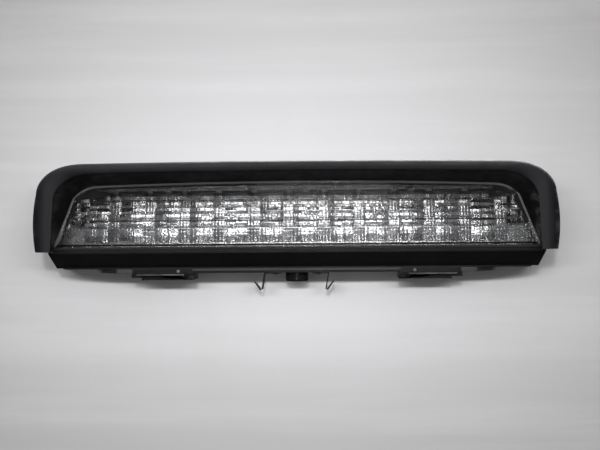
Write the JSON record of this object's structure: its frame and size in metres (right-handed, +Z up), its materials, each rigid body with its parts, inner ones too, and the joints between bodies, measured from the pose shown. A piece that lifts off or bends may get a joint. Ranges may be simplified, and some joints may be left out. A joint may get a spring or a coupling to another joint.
{
  "type": "third brake light",
  "caption": "High-mounted stop lamp for a parcel shelf: hooded housing, clear fluted lens over a stepped reflector, feet, locating boss and sprung clips under its base.",
  "frame": {"origin": "on the locating boss's axis, level with the feet's soles, where the shelf panel's top surface is", "axes": "+Z up out of the shelf, -Y the way the lens faces, +X to the right of someone looking at the lens"},
  "size_m": [0.3594, 0.0604, 0.0898],
  "materials": {
    "hood_plastic": "fine-grained satin black, polished and slightly worn along the lip",
    "base_plastic": "satin black with a smooth lip strip",
    "housing_plastic": "smooth dark grey",
    "vent_plastic": "matt dark grey membrane cap",
    "clear_lens": "clear fluted plastic, polished",
    "seal": "matt sealing bead",
    "reflector_metal": "vacuum-metallised, finely stippled",
    "board": "green solder mask",
    "led_package": "white package with a clear window",
    "component_black": "black moulded body",
    "component_tan": "tan ceramic body",
    "screw_steel": "zinc-plated steel",
    "pin_steel": "bright steel",
    "spring_steel": "grey spring steel with dark edges",
    "connector_plastic": "smooth black nylon",
    "terminal_brass": "tinned brass",
    "lead_insulation": "soft wire insulation"
  },
  "bodies": {
    "lamp": {"hood": "hood_plastic", "base_tray": "base_plastic", "foot_left": "base_plastic", "foot_right": "base_plastic", "locating_boss": "base_plastic", "vent_cap": "vent_plastic", "housing": "housing_plastic", "lens": "clear_lens", "lens_seal": "seal", "reflector": "reflector_metal", "led_board": "board", "leds": "led_package", "resistors": "component_black", "protection_diode": "component_black", "capacitor": "component_tan", "board_screws": "screw_steel", "hood_screws": "screw_steel", "housing_screws": "screw_steel", "boss_screw": "screw_steel", "foot_pins": "pin_steel", "clip_rivets": "pin_steel", "clip_stem_left": "spring_steel", "clip_stem_right": "spring_steel", "connector_socket": "connector_plastic", "terminal_blades": "terminal_brass", "board_leads": "lead_insulation"},
    "barb_left": {"clip_barb_left": "spring_steel"},
    "barb_right": {"clip_barb_right": "spring_steel"}
  },
  "joints": [
    {"name": "clip_barb_left_flex", "type": "hinge", "parent": "lamp", "child": "barb_left", "pos_m": [-0.02575, 0, -0.0074], "axis": [0, 1, 0], "range_deg": [0, 22], "stiffness_Nm_per_rad": 0.4},
    {"name": "clip_barb_right_flex", "type": "hinge", "parent": "lamp", "child": "barb_right", "pos_m": [0.02175, 0, -0.0074], "axis": [0, -1, 0], "range_deg": [0, 22], "stiffness_Nm_per_rad": 0.4}
  ]
}
